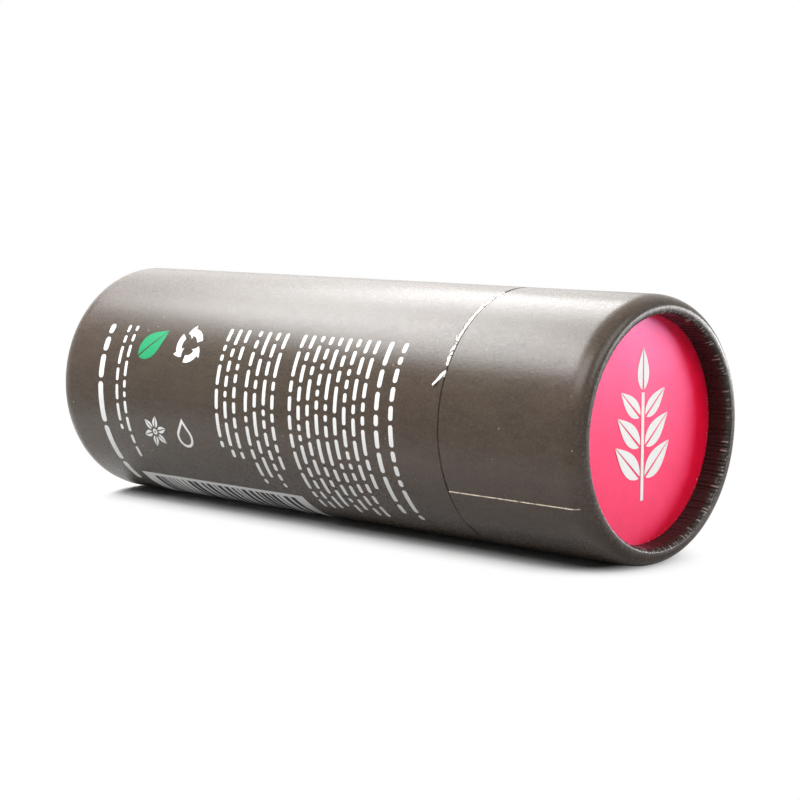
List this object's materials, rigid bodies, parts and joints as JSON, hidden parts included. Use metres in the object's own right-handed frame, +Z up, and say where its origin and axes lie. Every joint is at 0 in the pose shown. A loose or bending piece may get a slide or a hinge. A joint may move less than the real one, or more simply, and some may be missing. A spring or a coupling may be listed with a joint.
{
  "type": "cosmetic paper tube",
  "caption": "Round telescoping paperboard tube for a small cosmetic bottle, with rolled rims, a recessed red cap facing and a cap that pulls off an inner neck.",
  "frame": {"origin": "on the surface that the tube lies on, under the middle of its length", "axes": "+X along the tube's axis from the base to the cap, +Z up"},
  "size_m": [0.116, 0.04, 0.04],
  "materials": {
    "printed_paper": "dark brown-grey printed cover paper, satin",
    "red_paper": "red printed facing paper, satin",
    "board": "grey wound paperboard, matt, with bare cut edges",
    "kraft_board": "brown wound paperboard, matt",
    "kraft_paper": "smooth brown paper on the neck"
  },
  "bodies": {
    "body": {"body_cover_paper": "printed_paper", "body_board_tube": "board", "base_facing": "printed_paper", "base_disc": "board", "neck_tube": "kraft_board", "neck_paper": "kraft_paper"},
    "cap": {"cap_cover_paper": "printed_paper", "cap_board_tube": "board", "cap_facing": "red_paper", "cap_disc": "board"}
  },
  "joints": [
    {"name": "cap_pull", "type": "slide", "parent": "body", "child": "cap", "axis": [1, 0, 0], "range_m": [0, 0.06]}
  ]
}
